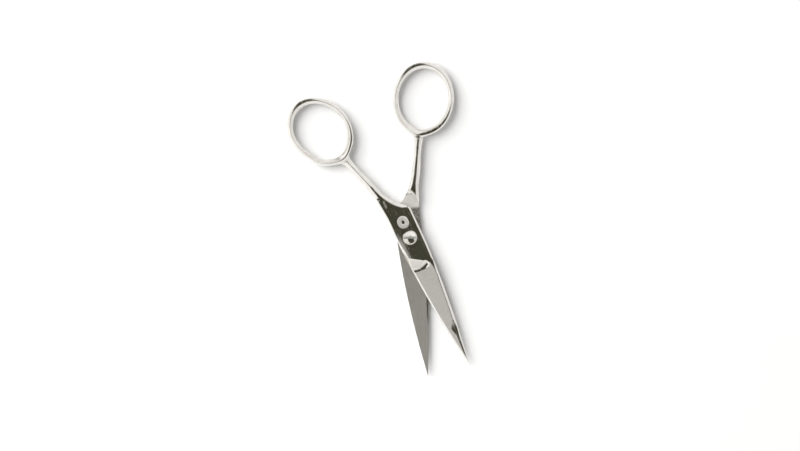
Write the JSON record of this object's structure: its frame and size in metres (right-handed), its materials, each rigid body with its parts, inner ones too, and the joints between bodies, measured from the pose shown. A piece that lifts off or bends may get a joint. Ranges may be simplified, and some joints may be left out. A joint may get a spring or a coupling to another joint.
{
  "type": "thread snips",
  "caption": "Small all-metal ring-handled scissors for cutting thread and trimming cloth, pivoting on a slotted screw.",
  "frame": {"origin": "on the pivot axis, at the flat underside of the joint that lies on the table", "axes": "+Y between the two open blades towards their tips, +Z along the pivot axis out of the screw head, +X towards the bow of the upper half"},
  "size_m": [0.0702, 0.1235, 0.0052],
  "materials": {
    "nickel_plate": "bright nickel plate over forged steel, polished on the joint, shanks and bows, finely ground on the blades",
    "screw_nickel": "bright nickel plate over turned steel, polished"
  },
  "bodies": {
    "lower_half": {"lower_blade_and_handle": "nickel_plate", "pivot_screw": "screw_nickel"},
    "upper_half": {"upper_blade_and_handle": "nickel_plate"}
  },
  "joints": [
    {"name": "blade_pivot", "type": "hinge", "parent": "lower_half", "child": "upper_half", "pos_m": [0, 0, 0.002], "axis": [0, 0, 1], "range_deg": [-18.6, 120]}
  ]
}
